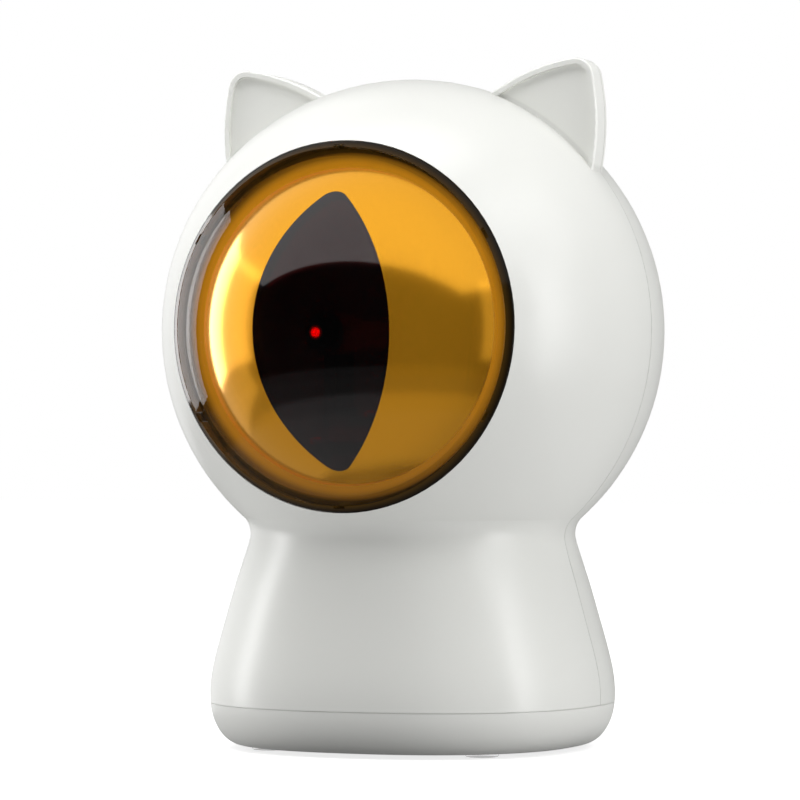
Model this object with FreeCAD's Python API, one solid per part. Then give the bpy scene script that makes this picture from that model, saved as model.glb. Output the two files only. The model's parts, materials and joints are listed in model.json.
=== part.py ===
import FreeCAD, Part
import functools
import math
import os

# Automatic cat laser toy, in millimetres. The origin is the centre of the plane
# that its feet rest on, +Z is up, and the eye looks along -Y.

V = FreeCAD.Vector
X_AXIS = V(1, 0, 0)
Y_AXIS = V(0, 1, 0)
Z_AXIS = V(0, 0, 1)

# ---- Housing outline (heights are above the underside of the base) ----
foot_proud = 0.8            # how far the feet lift the base off the floor
head_radius = 53.0
head_height = 86.7          # centre of the head
base_half_width = 41.7
base_half_depth = 39.3
base_squareness = 2.35      # exponent of the base's rounded plan, 2 is an ellipse
edge_width = 6.4            # rounded lower edge, measured inwards
belly_height = 10.0         # widest level, and the height of the rounded edge
belly_radius = 33.0         # bulge between the widest level and the taper
taper_angle = 15.65
neck_radius = 5.1           # hollow between taper and head
wall = 2.2
seam_height = 8.9           # seam between the base cap and the shells
parting_y = 1.0             # plane between the front and rear shells
reveal = 0.2                # gap that shows as a hairline at each seam
lip_wall = 1.05             # half-lap lip behind the seams
lip_reach = 1.6
lap_gap = 0.1
plan_points = 24            # points along the curve of each level of the base
neck_step = 0.02            # how far the neck's top stays inside the head
boss_clear = 1.0            # from the top of the cap's lip to the ribs above it

# ---- Ears ----
ear_lean = 54.13            # the tip's direction from the head's centre, above level
ear_reach = 11.17           # from the head's surface to the centre of the rounded tip
ear_tip_radius = 4.2
ear_top_radius = 45.0
ear_top_angle = 98.0
ear_side_radius = 48.0
ear_side_angle = 12.0
ear_front = 4.5             # thickness in front of the parting plane
ear_back = 1.5              # thickness behind it
ear_rim = 1.3
ear_recess = 1.0
ear_wall = 1.5
ear_edge = 0.45
ear_root = 2.0              # how far inside the head's surface the ear's outline ends

# ---- Eye ----
ring_radius = 37.6
ring_width = 1.2
ring_gap = 0.2              # bezel to shell, and dome to bezel
dome_wall = 1.6
dome_rim = 3.3              # straight rim behind the dome's edge
ledge_width = 1.0           # seat of the dome's rim, measured inwards
ledge_thick = 1.1
iris_gap = 1.1              # between the two domes at their poles
iris_edge = 32.4
iris_wall = 1.3
flange_gap = 0.1
retainer_width = 1.9
retainer_thick = 1.2
catch_count = 6
catch_width = 2.2
catch_reach = 0.6
pupil_half_width = 15.05
pupil_arc = 36.2
pupil_tip = 4.0
pupil_drop = 1.0
pupil_fit = 0.03
bezel_flange = 1.9
bezel_skirt = 1.5
lug_count = 3
lug_radius = 42.4
lug_width = 6.0
lug_thick = 1.5
lug_depth = 22.0
lug_bore = 3.2
notch_play = 0.1
catch_root = 0.6            # how deep each catch is rooted in the dome's rim
catch_set = 1.0             # and how far it stays behind the dome's edge
bezel_screw_length = 4.2

# ---- Laser aim ----
aim_side = -1.1             # laser axis beside the middle of the eye
aim_drop = 1.4              # and below it
laser_gap = 1.65            # emitter to the inside of the iris dome
tilt_down = 35.0
tilt_up = 10.0
pan_swing = 20.0

# ---- Battery bay and door ----
cell_radius = 7.25
cell_length = 50.5
cell_nub_radius = 2.75
cell_nub = 1.0
cell_gap = 0.5
bay_y = -3.0                # centre of the cells
bay_wall = 1.95
cell_play = 0.15
roof = 1.4
top_space = 1.1
door_thick = 2.0
door_space = 2.6            # between the door and the cells
door_gap = 0.3
hinge_pin = 0.6
pin_reach = 1.5
pin_space = 0.3             # between a pin's end and the bottom of its hole
scoop_radius = 9.0          # finger scoop in the door's outside
scoop_depth = 0.9
scoop_back = 5.0
latch_half = 4.0
latch_thick = 1.2
latch_high = 1.8
latch_inset = 0.4
door_corner = 3.0
bay_margin = 0.95
leaf = 0.4
contact_width = 5.0
arch_half = 3.2             # arch of a contact under each cell
arch_foot = 0.6
strip_end = 4.0             # how far a contact strip runs past its arches
holder_corner = 2.5
holder_ear_out = 3.4
holder_ear_along = 9.0
holder_ear_up = 5.0
holder_ear_thick = 2.0
holder_screw_length = 5.5
latch_room = 4.0
cell_edge = 0.6

# ---- Feet and screws ----
foot_radius = 3.5
foot_depth = 0.8
foot_x = 24.0
foot_y = 20.5
screw_radius = 0.9
screw_head = 1.7
screw_head_high = 1.3
screw_play = 0.05
boss_radius = 2.6
base_head_seat = 4.2
base_screw_length = 13.0
front_boss_y = -28.5
rear_boss_x = 13.0
rear_boss_y = 28.0
rib = 1.2
screw_end_room = 1.5
head_edge = 0.4
slot_half = 1.1             # cross recess in a screw's head
slot_half_width = 0.25
slot_depth = 0.8
cap_boss_extra = 1.0
head_clear = 0.5
grow_in = 0.5                  # overlap where one form grows out of another

# ---- Mechanism ----
gear_module = 0.5
pan_teeth = 72
tilt_teeth = 48
pinion_teeth = 12
backlash = 0.12
gear_width = 3.0
pinion_width = 3.4
leg_high = 3.0
plate_thick = 2.4
thrust = 0.4
hub_radius = 4.0
run_gap = 0.05
yoke_radius = 13.0
yoke_base = 2.2
arm_inner = 10.5
arm_thick = 2.4
arm_half = 5.0
pin_radius = 1.0
side_play = 0.3
pan_motor_radius = 7.0
pan_motor_high = 9.0
motor_flange = 0.9
ear_screw_x = 8.65
ear_screw_y = 3.15
post_radius = 2.0
tilt_motor_radius = 5.0
tilt_motor_length = 12.6
shaft_radius = 0.75
web = 1.0
shelf = 1.6
sector_side = -5.5          # middle of the toothed sector, beside the laser
barrel_radius = 3.0
barrel_length = 14.5
barrel_sleeve = 1.3
lens_radius = 1.0
lens_thick = 0.7
press = 0.01                # radial play of a pressed or glued fit
pressure_angle = 20.0
pinion_tip_cut = 0.1        # share of the module taken off the teeth's tips
sector_tip_cut = 0.15
pan_margin = 14.0           # degrees of teeth past each end of the swing
tilt_margin = 10.0
ring_wide = 2.0             # thrust ring round the pan gear's hub
gear_hole_radius = 1.6
gear_hole_pitch = 14.6
gear_hole_angle = 12.0
washer_thick = 0.7
washer_wide = 1.5
pan_screw_length = 6.5
yoke_screw_pitch = 9.5
heel_out = 2.5
heel_half = 1.2
heel_high = 2.0
motor_edge = 0.8
motor_boss_radius = 2.0
motor_boss_high = 0.6
terminal_half = 3.0
plate_leg_radius = 2.3
plate_margin = 0.6
window_half = 4.0           # opening in the plate under the pan motor's shaft
window_corner = 1.5
mech_screw_bite = 5.0
thin_head_radius = 1.4
thin_head_high = 1.0
thin_screw_length = 4.0
cradle_hub_radius = 3.4
cradle_arm_half = 2.4
cradle_arm_high = 2.6
sleeve_front = 4.5          # from the laser's front to its sleeve
sleeve_end = 1.2
lead_hole_radius = 1.2
flute_half = 0.8
slit_half = 0.5
slit_long = 8.0
barrel_edge = 0.8
groove_back = 2.4
groove_wide = 0.8
groove_depth = 0.4

# ---- Boards and rear fittings ----
board_thick = 1.2
board_standoff = 2.0
board_half_width = 15.0
board_low = 9.0
board_high = 50.0
board_screw_inset = 2.8
board_screw_end = 3.0
board_screw_length = 3.6
rear_board_y = 27.4
rear_board_half = 8.5
rear_board_low = 11.0
rear_board_high = 42.5
rear_screw_x = 6.0
rear_screw_length = 4.5
plug_half = 4.0             # lead socket on the rear board
plug_half_high = 3.0
plug_deep = 3.5
lamp_half = 0.8
lamp_half_high = 0.5
lamp_high = 0.6
usb_height = 17.0
usb_half_width = 4.47
usb_half_high = 1.63
usb_wall = 0.35
usb_recess = 1.4
usb_clear = 0.35
usb_rounding = 0.8          # share of the half height
usb_back = 1.5
tongue_half = 3.3
tongue_half_high = 0.35
tongue_inset = 1.0
button_height = 32.5
button_radius = 4.5
button_proud = 0.6
button_gap = 0.15
button_flange = 1.1
button_travel = 0.4
button_thick = 1.2          # how far the cap and flange reach behind the wall
button_post = 1.6
switch_half = 2.25
switch_body = 1.8
plunger_radius = 1.0
plunger_high = 0.8
light_height = 40.4
light_radius = 1.1
light_gap = 0.8             # board to the light pipe
light_collar = 0.6
collar_thick = 1.6

# ---- Places that follow from the sizes above ----
base_z = foot_proud
head_z = base_z + head_height
seam_z = base_z + seam_height
floor_top = base_z + wall
dome_edge = ring_radius - ring_width - ring_gap
dome_edge_depth = math.sqrt(head_radius ** 2 - dome_edge ** 2)
seat_depth = dome_edge_depth - dome_rim
flange_depth = seat_depth - ledge_thick - flange_gap
iris_pole = head_radius - dome_wall - iris_gap
iris_rise = iris_pole - flange_depth
iris_radius = (iris_rise ** 2 + iris_edge ** 2) / (2 * iris_rise)
iris_centre = iris_pole - iris_radius
bezel_inside = dome_edge + ring_gap
flange_radius = bezel_inside - 3 * flange_gap
retainer_depth = flange_depth - iris_wall
shell_inside = head_radius - wall
pan_x = aim_side
pan_y = -iris_centre
tilt_z = head_z - aim_drop
reach = iris_radius - iris_wall - laser_gap
cell_z = base_z + door_thick + door_space
bay_top = cell_z + cell_length + top_space + roof
bay_half = 2 * cell_radius + cell_gap / 2 + bay_wall
bay_open = bay_half - bay_margin
plate_z = bay_top + leg_high
washer_z = plate_z - 0.1 - washer_thick
gear_z = plate_z + plate_thick + thrust
yoke_z = gear_z + gear_width
pan_radius = gear_module * pan_teeth / 2
tilt_radius = gear_module * tilt_teeth / 2
pinion_radius = gear_module * pinion_teeth / 2
motor_y = pan_y + pan_radius + pinion_radius
motor_z = gear_z + pinion_width + 1.0
tilt_y = pan_y + tilt_radius + pinion_radius
screw_pitch = bay_half - 2.5
board_y = bay_y + bay_half + board_standoff
rear_face = rear_board_y + board_thick
past_wall = 30.0            # reaches from the rear board through the wall
past_arms = 2 * arm_inner   # reaches from the laser's axis past both arms of the yoke
hinge_y = bay_y + bay_open - door_gap - door_thick / 2
hinge_z = base_z + door_thick / 2


def box(x, y, z):
    size = (x[1] - x[0], y[1] - y[0], z[1] - z[0])
    return Part.makeBox(*size, V(x[0], y[0], z[0]))


def rod(radius, start, direction, length):
    return Part.makeCylinder(radius, length, V(*start), direction)


def mirrored(shape):
    return shape.mirror(V(0, 0, 0), X_AXIS)


def rounded_box(x, y, z, radius):
    block = box(x, y, z)
    upright = []
    for edge in block.Edges:
        if abs(edge.Vertexes[0].Z - edge.Vertexes[-1].Z) > 0.5 * (z[1] - z[0]):
            upright.append(edge)
    return block.makeFillet(radius, upright)


def joined(shapes):
    return shapes[0].fuse(shapes[1:]).removeSplitter()


def screw(seat, direction, length, radius=screw_radius):
    """A pan-head screw: its head's underside at seat, its shank along direction."""
    place = V(*seat)
    top = place - direction * screw_head_high
    head = Part.makeCylinder(screw_head, screw_head_high, top, direction)
    rim = []
    for edge in head.Edges:
        if edge.Closed and (edge.CenterOfMass - top).Length < screw_head_high / 2:
            rim.append(edge)
    head = head.makeChamfer(head_edge, rim)
    shank = Part.makeCylinder(radius, length, place, direction)
    return head.fuse(shank)


def cross_slot(seat, direction):
    """The cross recess cut into a screw's head."""
    top = V(*seat) - direction * screw_head_high
    blades = []
    for half_x, half_y in ((slot_half, slot_half_width), (slot_half_width, slot_half)):
        corner = V(-half_x, -half_y, -slot_depth)
        blade = Part.makeBox(2 * half_x, 2 * half_y, 2 * slot_depth, corner)
        blade.Placement = FreeCAD.Placement(top, FreeCAD.Rotation(Z_AXIS, direction))
        blades.append(blade)
    return blades[0].fuse(blades[1])


# ---- Housing ----

def plan_ring(half_width, half_depth, power, z):
    """One level of the base: a closed superellipse."""
    points = []
    for i in range(plan_points):
        angle = 2 * math.pi * i / plan_points
        across = abs(math.cos(angle) / half_width) ** power
        along = abs(math.sin(angle) / half_depth) ** power
        radius = (across + along) ** (-1 / power)
        points.append(V(radius * math.cos(angle), radius * math.sin(angle), z))
    curve = Part.BSplineCurve()
    curve.interpolate(Points=points, PeriodicFlag=True)
    return Part.Wire([curve.toShape()])


def neck_centre():
    """Centre of the neck's hollow arc, which touches the taper and the head."""
    slope = math.radians(taper_angle)
    start_x = base_half_width - belly_radius * (1 - math.cos(slope)) + neck_radius * math.cos(slope)
    start_z = belly_height + belly_radius * math.sin(slope) + neck_radius * math.sin(slope)
    from_head = (start_x, start_z - head_height)
    along = -from_head[0] * math.sin(slope) + from_head[1] * math.cos(slope)
    square = from_head[0] ** 2 + from_head[1] ** 2
    run = -along - math.sqrt(along ** 2 - square + (head_radius + neck_radius) ** 2)
    return start_x - run * math.sin(slope), start_z + run * math.cos(slope)


def side_levels(inset):
    """(half width, height) pairs up the side of the base, moved inwards by inset."""
    slope = math.radians(taper_angle)
    levels = []
    for angle in range(0, 91, 15):
        turn = math.radians(angle)
        half = base_half_width - edge_width + (edge_width - inset) * math.sin(turn)
        levels.append((half, belly_height - (belly_height - inset) * math.cos(turn)))
    bulge = belly_radius - inset
    for share in (0.5, 1.0):
        turn = slope * share
        half = base_half_width - belly_radius + bulge * math.cos(turn)
        levels.append((half, belly_height + bulge * math.sin(turn)))
    hollow = neck_radius + inset
    neck_x, neck_z = neck_centre()
    low = (neck_x - hollow * math.cos(slope), neck_z - hollow * math.sin(slope))
    first = levels[-1]
    for share in (1 / 3, 2 / 3):
        half = first[0] + (low[0] - first[0]) * share
        levels.append((half, first[1] + (low[1] - first[1]) * share))
    high_turn = math.atan2(head_height - neck_z, neck_x)
    for share in (0.0, 0.25, 0.5, 0.75, 1.0):
        turn = slope + (-high_turn - slope) * share
        levels.append((neck_x - hollow * math.cos(turn), neck_z - hollow * math.sin(turn)))
    return levels


def ball(radius):
    """A sphere about the head's centre, with its poles at the eye and the back."""
    return Part.makeSphere(radius, V(0, 0, head_z), Y_AXIS)


@functools.lru_cache(maxsize=None)
def pedestal(inset):
    """The base and neck up to the head, moved inwards by inset."""
    levels = side_levels(inset)
    top = levels[-1][1]
    rings = []
    for half, height in levels:
        rise = min(1.0, max(0.0, (height - belly_height) / (top - belly_height)))
        ease = rise * rise * (3 - 2 * rise)
        ratio = base_half_depth / base_half_width
        ratio += (1 - ratio) * ease
        power = base_squareness + (2 - base_squareness) * rise ** 5
        half_depth = (half + inset) * ratio - inset
        if height == top:
            half -= neck_step
            half_depth = half
        rings.append(plan_ring(half, half_depth, power, base_z + height))
    return Part.makeLoft(rings, True, False)


@functools.lru_cache(maxsize=None)
def body(inset):
    """The solid inside the whole housing's outline, moved inwards by inset."""
    neck_top = base_z + side_levels(inset)[-1][1]
    size = 3 * head_radius
    head = ball(head_radius - inset)
    head = head.common(box((-size, size), (-size, size), (neck_top, base_z + size)))
    return head.fuse(pedestal(inset))


def slab(y=None, z=None):
    """All of the space between two planes across Y or Z."""
    size = 4 * head_radius
    return box((-size, size), y or (-size, size), z or (-size, size))


def ear_outline(inset):
    """The ear's outline, three tangent arcs whose feet end inside the head."""
    head = V(0, 0, head_z)
    lean = math.radians(ear_lean)
    tip = head + V(math.cos(lean), 0, math.sin(lean)) * (head_radius + ear_reach)
    root = head_radius - ear_root
    arcs = []

    def point(centre, radius, angle):
        turn = math.radians(angle)
        return centre + V(math.cos(turn), 0, math.sin(turn)) * (radius - inset)

    def arc(centre, radius, start, end):
        ends = [point(centre, radius, angle) for angle in (start, (start + end) / 2, end)]
        arcs.append(Part.Arc(*ends).toShape())

    def inner_centre(radius, angle):
        turn = math.radians(angle)
        return tip - V(math.cos(turn), 0, math.sin(turn)) * (radius - ear_tip_radius)

    def foot_angle(centre, radius, start, side):
        """Where the arc that starts at an angle reaches the root circle inside the head."""
        to_head = head - centre
        far = to_head.Length
        near = radius - inset
        share = (near ** 2 + far ** 2 - root ** 2) / (2 * near * far)
        turn = math.degrees(math.atan2(to_head.z, to_head.x) + side * math.acos(share))
        return start + (turn - start + 180) % 360 - 180

    top = inner_centre(ear_top_radius, ear_top_angle)
    side = inner_centre(ear_side_radius, ear_side_angle)
    foot_top = foot_angle(top, ear_top_radius, ear_top_angle, -1)
    foot_side = foot_angle(side, ear_side_radius, ear_side_angle, 1)
    arc(top, ear_top_radius, foot_top, ear_top_angle)
    arc(tip, ear_tip_radius, ear_top_angle, ear_side_angle)
    arc(side, ear_side_radius, ear_side_angle, foot_side)
    feet = (point(side, ear_side_radius, foot_side), point(top, ear_top_radius, foot_top))
    arcs.append(Part.makeLine(*feet))
    return Part.Face(Part.Wire(arcs))


def ear_prism(inset, y):
    face = ear_outline(inset)
    face.translate(V(0, y[0], 0))
    return face.extrude(V(0, y[1] - y[0], 0))


def ear_rounded(y, round_y):
    """An ear half whose outer edge at round_y is rounded."""
    prism = ear_prism(0, y)
    edges = []
    for edge in prism.Edges:
        if edge.Curve.TypeId == "Part::GeomCircle" and abs(edge.CenterOfMass.y - round_y) < 0.01:
            edges.append(edge)
    return prism.makeFillet(ear_edge, edges)


def front_ear():
    face_y = parting_y - ear_front
    ear = ear_rounded((face_y, parting_y), face_y)
    outside = ball(head_radius)
    recess = ear_prism(ear_rim, (face_y - 1, face_y + ear_recess)).cut(outside)
    ear = ear.cut(recess)
    hollow = ear_prism(ear_wall, (face_y + ear_recess + ear_wall, parting_y + 1))
    cavity = ball(head_radius - wall / 2)
    return ear.cut(hollow.fuse(cavity))


def rear_ear():
    back_y = parting_y + ear_back
    ear = ear_rounded((parting_y + reveal, back_y), back_y)
    return ear.cut(ball(head_radius - wall / 2))


@functools.lru_cache(maxsize=None)
def housing_skin():
    return body(0).cut(body(wall))


def wall_boss(x, y, z, radius, skin_inset=wall / 4):
    """A boss along Y that grows out of the rear wall, from y to the wall."""
    return rod(radius, (x, y, z), Y_AXIS, head_radius).common(pedestal(skin_inset))


def base_bosses():
    """Screw places between the base cap and the shells: (x, y) of each."""
    return ((0, front_boss_y), (rear_boss_x, rear_boss_y), (-rear_boss_x, rear_boss_y))


def shell_boss(x, y):
    """A screw boss with a rib that ties it to the wall above the cap's lip."""
    low = seam_z
    high = base_z + base_head_seat + base_screw_length + screw_end_room
    boss = rod(boss_radius, (x, y, low), Z_AXIS, high - low)
    rib_z = (seam_z + lip_reach + boss_clear, high)
    y_range = (y, y + head_radius) if y > 0 else (y - head_radius, y)
    tie = box((x - rib / 2, x + rib / 2), y_range, rib_z).common(pedestal(wall / 2))
    bore = rod(screw_radius + screw_play, (x, y, low - 1), Z_AXIS, high - low - grow_in)
    return boss.fuse(tie).cut(bore)


def lug_places():
    """(x, z) of each screw that holds the eye bezel, and its angle."""
    places = []
    for i in range(lug_count):
        angle = 90 + i * 360 / lug_count
        turn = math.radians(angle)
        places.append((lug_radius * math.cos(turn), head_z + lug_radius * math.sin(turn), angle))
    return places


def front_shell():
    skin = housing_skin().common(slab(y=(-4 * head_radius, parting_y)))
    skin = skin.common(slab(z=(seam_z, 4 * head_radius)))
    lip = body(lip_wall + lap_gap).cut(body(wall))
    lip = lip.common(slab(y=(parting_y - grow_in, parting_y + lip_reach)))
    lip = lip.common(slab(z=(seam_z + lip_reach + boss_clear, 4 * head_radius)))
    ears = [front_ear(), mirrored(front_ear())]
    shell = skin.fuse([lip] + ears)
    front = (0, -2 * head_radius, head_z)
    opening = rod(ring_radius + ring_gap, front, Y_AXIS, 2 * head_radius - lug_depth)
    shell = shell.cut(opening)
    bosses = []
    for x, z, angle in lug_places():
        post = rod(boss_radius, (x, -head_radius, z), Y_AXIS, head_radius - lug_depth)
        post = post.common(ball(head_radius - wall / 2))
        bore = rod(screw_radius + screw_play, (x, -lug_depth, z), -Y_AXIS, lug_bore)
        bosses.append(post.cut(bore))
    x, y = base_bosses()[0]
    bosses.append(shell_boss(x, y))
    return joined([shell] + bosses)


def usb_slot(clear, y):
    half = usb_half_width + clear
    high = usb_half_high + clear
    low_z = base_z + usb_height
    slot = box((-half, half), y, (low_z - high, low_z + high))
    edges = [edge for edge in slot.Edges if abs(edge.Vertexes[0].Y - edge.Vertexes[-1].Y) > 1]
    return slot.makeFillet(high * usb_rounding, edges)


def rear_shell():
    skin = housing_skin().common(slab(y=(parting_y + reveal, 4 * head_radius)))
    skin = skin.common(slab(z=(seam_z, 4 * head_radius)))
    rebate = body(lip_wall).common(slab(y=(parting_y, parting_y + lip_reach + lap_gap)))
    skin = skin.cut(rebate)
    ears = [rear_ear(), mirrored(rear_ear())]
    shell = skin.fuse(ears)
    bosses = []
    for x, y in base_bosses()[1:]:
        bosses.append(shell_boss(x, y))
    for x, z in rear_board_screw_places():
        post = wall_boss(x, rear_face, z, boss_radius)
        bore = rod(screw_radius + screw_play, (x, rear_face - 1, z), Y_AXIS, 5)
        bosses.append(post.cut(bore))
    shell = joined([shell] + bosses)
    button_z = base_z + button_height
    button_hole = rod(button_radius + button_gap, (0, rear_face, button_z), Y_AXIS, past_wall)
    light_z = base_z + light_height
    light_hole = rod(light_radius + 2 * run_gap, (0, rear_face, light_z), Y_AXIS, past_wall)
    slot = usb_slot(usb_clear, (rear_face, rear_face + past_wall))
    return shell.cut([button_hole, light_hole, slot])


def base_cap():
    rim_z = seam_z - reveal
    cap = pedestal(0).common(slab(z=(-1, rim_z))).cut(pedestal(wall))
    low_ring = pedestal(wall - 2 * lap_gap).common(slab(z=(rim_z - wall, rim_z)))
    high_ring = pedestal(wall + lap_gap).common(slab(z=(rim_z, seam_z + lip_reach)))
    low_ring = low_ring.cut(pedestal(wall + lip_wall))
    high_ring = high_ring.cut(pedestal(wall + lip_wall))
    pieces = [low_ring, high_ring]
    low = floor_top - grow_in
    for x, y in base_bosses():
        pieces.append(rod(boss_radius + cap_boss_extra, (x, y, low), Z_AXIS, rim_z - low))
    for x, y in holder_screw_places():
        pieces.append(rod(boss_radius, (x, y, low), Z_AXIS, holder_ear_low() - low))
    cap = joined([cap] + pieces)
    cuts = [door_opening()]
    cuts.append(hinge_rod(hinge_pin + run_gap, pin_reach + pin_space))
    for x, y in base_bosses():
        cuts.append(rod(screw_radius + 2 * screw_play, (x, y, 0), Z_AXIS, seam_z + 1))
        cuts.append(rod(screw_head + head_clear, (x, y, 0), Z_AXIS, base_z + base_head_seat))
    for x, y in holder_screw_places():
        cuts.append(rod(screw_radius + screw_play, (x, y, floor_top), Z_AXIS, 20))
    for x, y in foot_places():
        cuts.append(rod(foot_radius, (x, y, 0), Z_AXIS, base_z + foot_depth))
    return cap.cut(cuts)


# ---- Underside ----

def foot_places():
    return ((foot_x, foot_y), (-foot_x, foot_y), (foot_x, -foot_y), (-foot_x, -foot_y))


def rubber_feet():
    feet = []
    for x, y in foot_places():
        pad = rod(foot_radius, (x, y, 0), Z_AXIS, base_z + foot_depth)
        rim = [edge for edge in pad.Edges if edge.Closed and edge.CenterOfMass.z < 0.01]
        feet.append(pad.makeFillet(0.4, rim))
    return Part.makeCompound(feet)


def base_screws():
    screws = []
    for x, y in base_bosses():
        seat = (x, y, base_z + base_head_seat)
        screws.append(screw(seat, Z_AXIS, base_screw_length).cut(cross_slot(seat, Z_AXIS)))
    return Part.makeCompound(screws)


def door_plan(half, y, z, corner):
    """A block as wide as 2 * half whose two corners away from the hinge are rounded."""
    block = box((-half, half), y, z)
    edges = []
    for edge in block.Edges:
        across = edge.CenterOfMass
        if abs(across.y - y[0]) < 0.01 and abs(abs(across.x) - half) < 0.01:
            edges.append(edge)
    return block.makeFillet(corner, edges)


def door_opening():
    y = (bay_y - bay_open, bay_y + bay_open)
    return door_plan(bay_open, y, (-1, floor_top + 0.1), door_corner)


def hinge_rod(radius, reach):
    """A rod on the hinge line that runs past both sides of the door by reach."""
    half = bay_open - door_gap + reach
    return rod(radius, (-half, hinge_y, hinge_z), X_AXIS, 2 * half)


def door_plate():
    """A plate whose edge is rounded about the hinge line, with two rounded corners."""
    half = bay_open - door_gap
    front = bay_y - half
    top = base_z + door_thick
    back = hinge_y + door_thick / 2
    corners = [V(-half, hinge_y, top), V(-half, front, top)]
    corners += [V(-half, front, base_z), V(-half, hinge_y, base_z)]
    edges = [Part.makeLine(*pair) for pair in zip(corners, corners[1:])]
    edges.append(Part.Arc(corners[3], V(-half, back, hinge_z), corners[0]).toShape())
    plate = Part.Face(Part.Wire(edges)).extrude(V(2 * half, 0, 0))
    plan = door_plan(half, (front, back), (base_z - 1, top + 1), door_corner - door_gap)
    return plate.common(plan)


def battery_door():
    """The door: a plate with a pin at each end of its hinge edge and a latch opposite."""
    front = bay_y - bay_open + door_gap
    top = base_z + door_thick
    centre = V(0, front + scoop_back, base_z + scoop_depth - scoop_radius)
    plate = door_plate().cut(Part.makeSphere(scoop_radius, centre))
    latch_y = (front + latch_inset, front + latch_inset + latch_thick)
    latch = box((-latch_half, latch_half), latch_y, (top - grow_in, top + latch_high))
    return joined([plate, hinge_rod(hinge_pin, pin_reach), latch])


def bump(x, y, z, rise):
    """A sprung arch of contact strip along X, standing on z."""
    half = arch_half
    foot = half - arch_foot
    outer = [V(x - half, 0, z), V(x, 0, z + rise), V(x + half, 0, z)]
    inner = [V(x - foot, 0, z), V(x, 0, z + rise - leaf), V(x + foot, 0, z)]
    edges = [Part.Arc(*outer).toShape(), Part.Arc(*inner).toShape()]
    edges.append(Part.makeLine(outer[0], inner[0]))
    edges.append(Part.makeLine(inner[2], outer[2]))
    face = Part.Face(Part.Wire(Part.__sortEdges__(edges)))
    face.translate(V(0, y - contact_width / 2, 0))
    return face.extrude(V(0, contact_width, 0))


def contact_strip(y, z, rises, up):
    """A strip that bridges two cells, with an arch under each of them."""
    span = cell_radius + cell_gap / 2
    half = span + strip_end
    strip_y = (y - contact_width / 2, y + contact_width / 2)
    strip = box((-half, half), strip_y, (z, z + leaf))
    arches = []
    for side in (-1, 1):
        arches.append(bump(side * span, y, z + leaf, rises))
    shape = joined([strip] + arches)
    if up:
        return shape
    middle = V(0, y, z + leaf / 2)
    return shape.mirror(middle, Z_AXIS)


def door_contacts():
    span = cell_radius + cell_gap / 2
    strips = []
    rises = door_space - leaf - door_gap
    for side in (-1, 1):
        strips.append(contact_strip(bay_y + side * span, base_z + door_thick, rises, True))
    return Part.makeCompound(strips)


def top_contacts():
    span = cell_radius + cell_gap / 2
    strips = []
    z = cell_z + cell_length + top_space - leaf
    for side in (-1, 1):
        strips.append(contact_strip(bay_y + side * span, z, top_space - leaf - lap_gap, False))
    return Part.makeCompound(strips)


# ---- Battery holder and cells ----

def holder_screw_places():
    side = bay_half + holder_ear_out
    near = bay_y - holder_ear_along
    far = bay_y + holder_ear_along
    return ((side, far), (-side, far), (side, near), (-side, near))


def holder_ear_low():
    return floor_top + holder_ear_up


def cell_centres():
    span = cell_radius + cell_gap / 2
    return ((span, bay_y + span), (-span, bay_y + span), (-span, bay_y - span), (span, bay_y - span))


def battery_holder():
    y = (bay_y - bay_half, bay_y + bay_half)
    block = rounded_box((-bay_half, bay_half), y, (floor_top, bay_top), holder_corner)
    ears = []
    low = holder_ear_low()
    for x, ear_y in holder_screw_places():
        ears.append(rod(boss_radius, (x, ear_y, low), Z_AXIS, holder_ear_thick))
        inner = bay_half - grow_in
        x_range = (inner, x) if x > 0 else (x, -inner)
        y_range = (ear_y - boss_radius, ear_y + boss_radius)
        ears.append(box(x_range, y_range, (low, low + holder_ear_thick)))
    for x, z in board_screw_places():
        ears.append(rod(boss_radius, (x, y[1] - grow_in, z), Y_AXIS, board_standoff + grow_in))
    block = joined([block] + ears)
    cuts = []
    for x, cell_y in cell_centres():
        cuts.append(rod(cell_radius + cell_play, (x, cell_y, 0), Z_AXIS, bay_top - roof))
    for side in (-1, 1):
        strip_y = bay_y + side * (cell_radius + cell_gap / 2)
        half = contact_width / 2 + 2 * lap_gap
        long = 2 * cell_radius + cell_gap / 2
        strip_z = (bay_top - roof - top_space, bay_top - roof)
        cuts.append(box((-long, long), (strip_y - half, strip_y + half), strip_z))
        cuts.append(box((-long, long), (strip_y - half, strip_y + half), (floor_top - 1, cell_z)))
    latch_x = (-latch_half - latch_inset, latch_half + latch_inset)
    latch_y = (y[0] + bay_margin, y[0] + bay_wall + latch_room)
    cuts.append(box(latch_x, latch_y, (floor_top - 1, floor_top + latch_room)))
    for x, ear_y in holder_screw_places():
        cuts.append(rod(screw_radius + screw_play, (x, ear_y, low - 1), Z_AXIS, holder_ear_thick + 2))
    for x, z in board_screw_places():
        cuts.append(rod(screw_radius + screw_play, (x, y[1] - bay_margin, z), Y_AXIS, board_screw_length))
    bite = mech_screw_bite + 2 * grow_in
    for x, plate_y in plate_screw_places():
        cuts.append(rod(screw_radius + screw_play, (x, plate_y, bay_top - bite), Z_AXIS, bite + 1))
    return block.cut(cuts)


def holder_screws():
    seat_z = holder_ear_low() + holder_ear_thick
    seats = [(x, y, seat_z) for x, y in holder_screw_places()]
    return Part.makeCompound([screw(seat, -Z_AXIS, holder_screw_length) for seat in seats])


def battery_cell(index):
    x, y = cell_centres()[index]
    can = rod(cell_radius, (x, y, cell_z), Z_AXIS, cell_length - cell_nub)
    rims = [edge for edge in can.Edges if edge.Closed]
    can = can.makeFillet(cell_edge, rims)
    shoulder = cell_z + cell_length - cell_nub
    nub = rod(cell_nub_radius, (x, y, shoulder - grow_in), Z_AXIS, cell_nub + grow_in)
    cell = can.fuse(nub)
    if index % 2:
        return cell.mirror(V(x, y, cell_z + cell_length / 2), Z_AXIS)
    return cell


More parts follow.
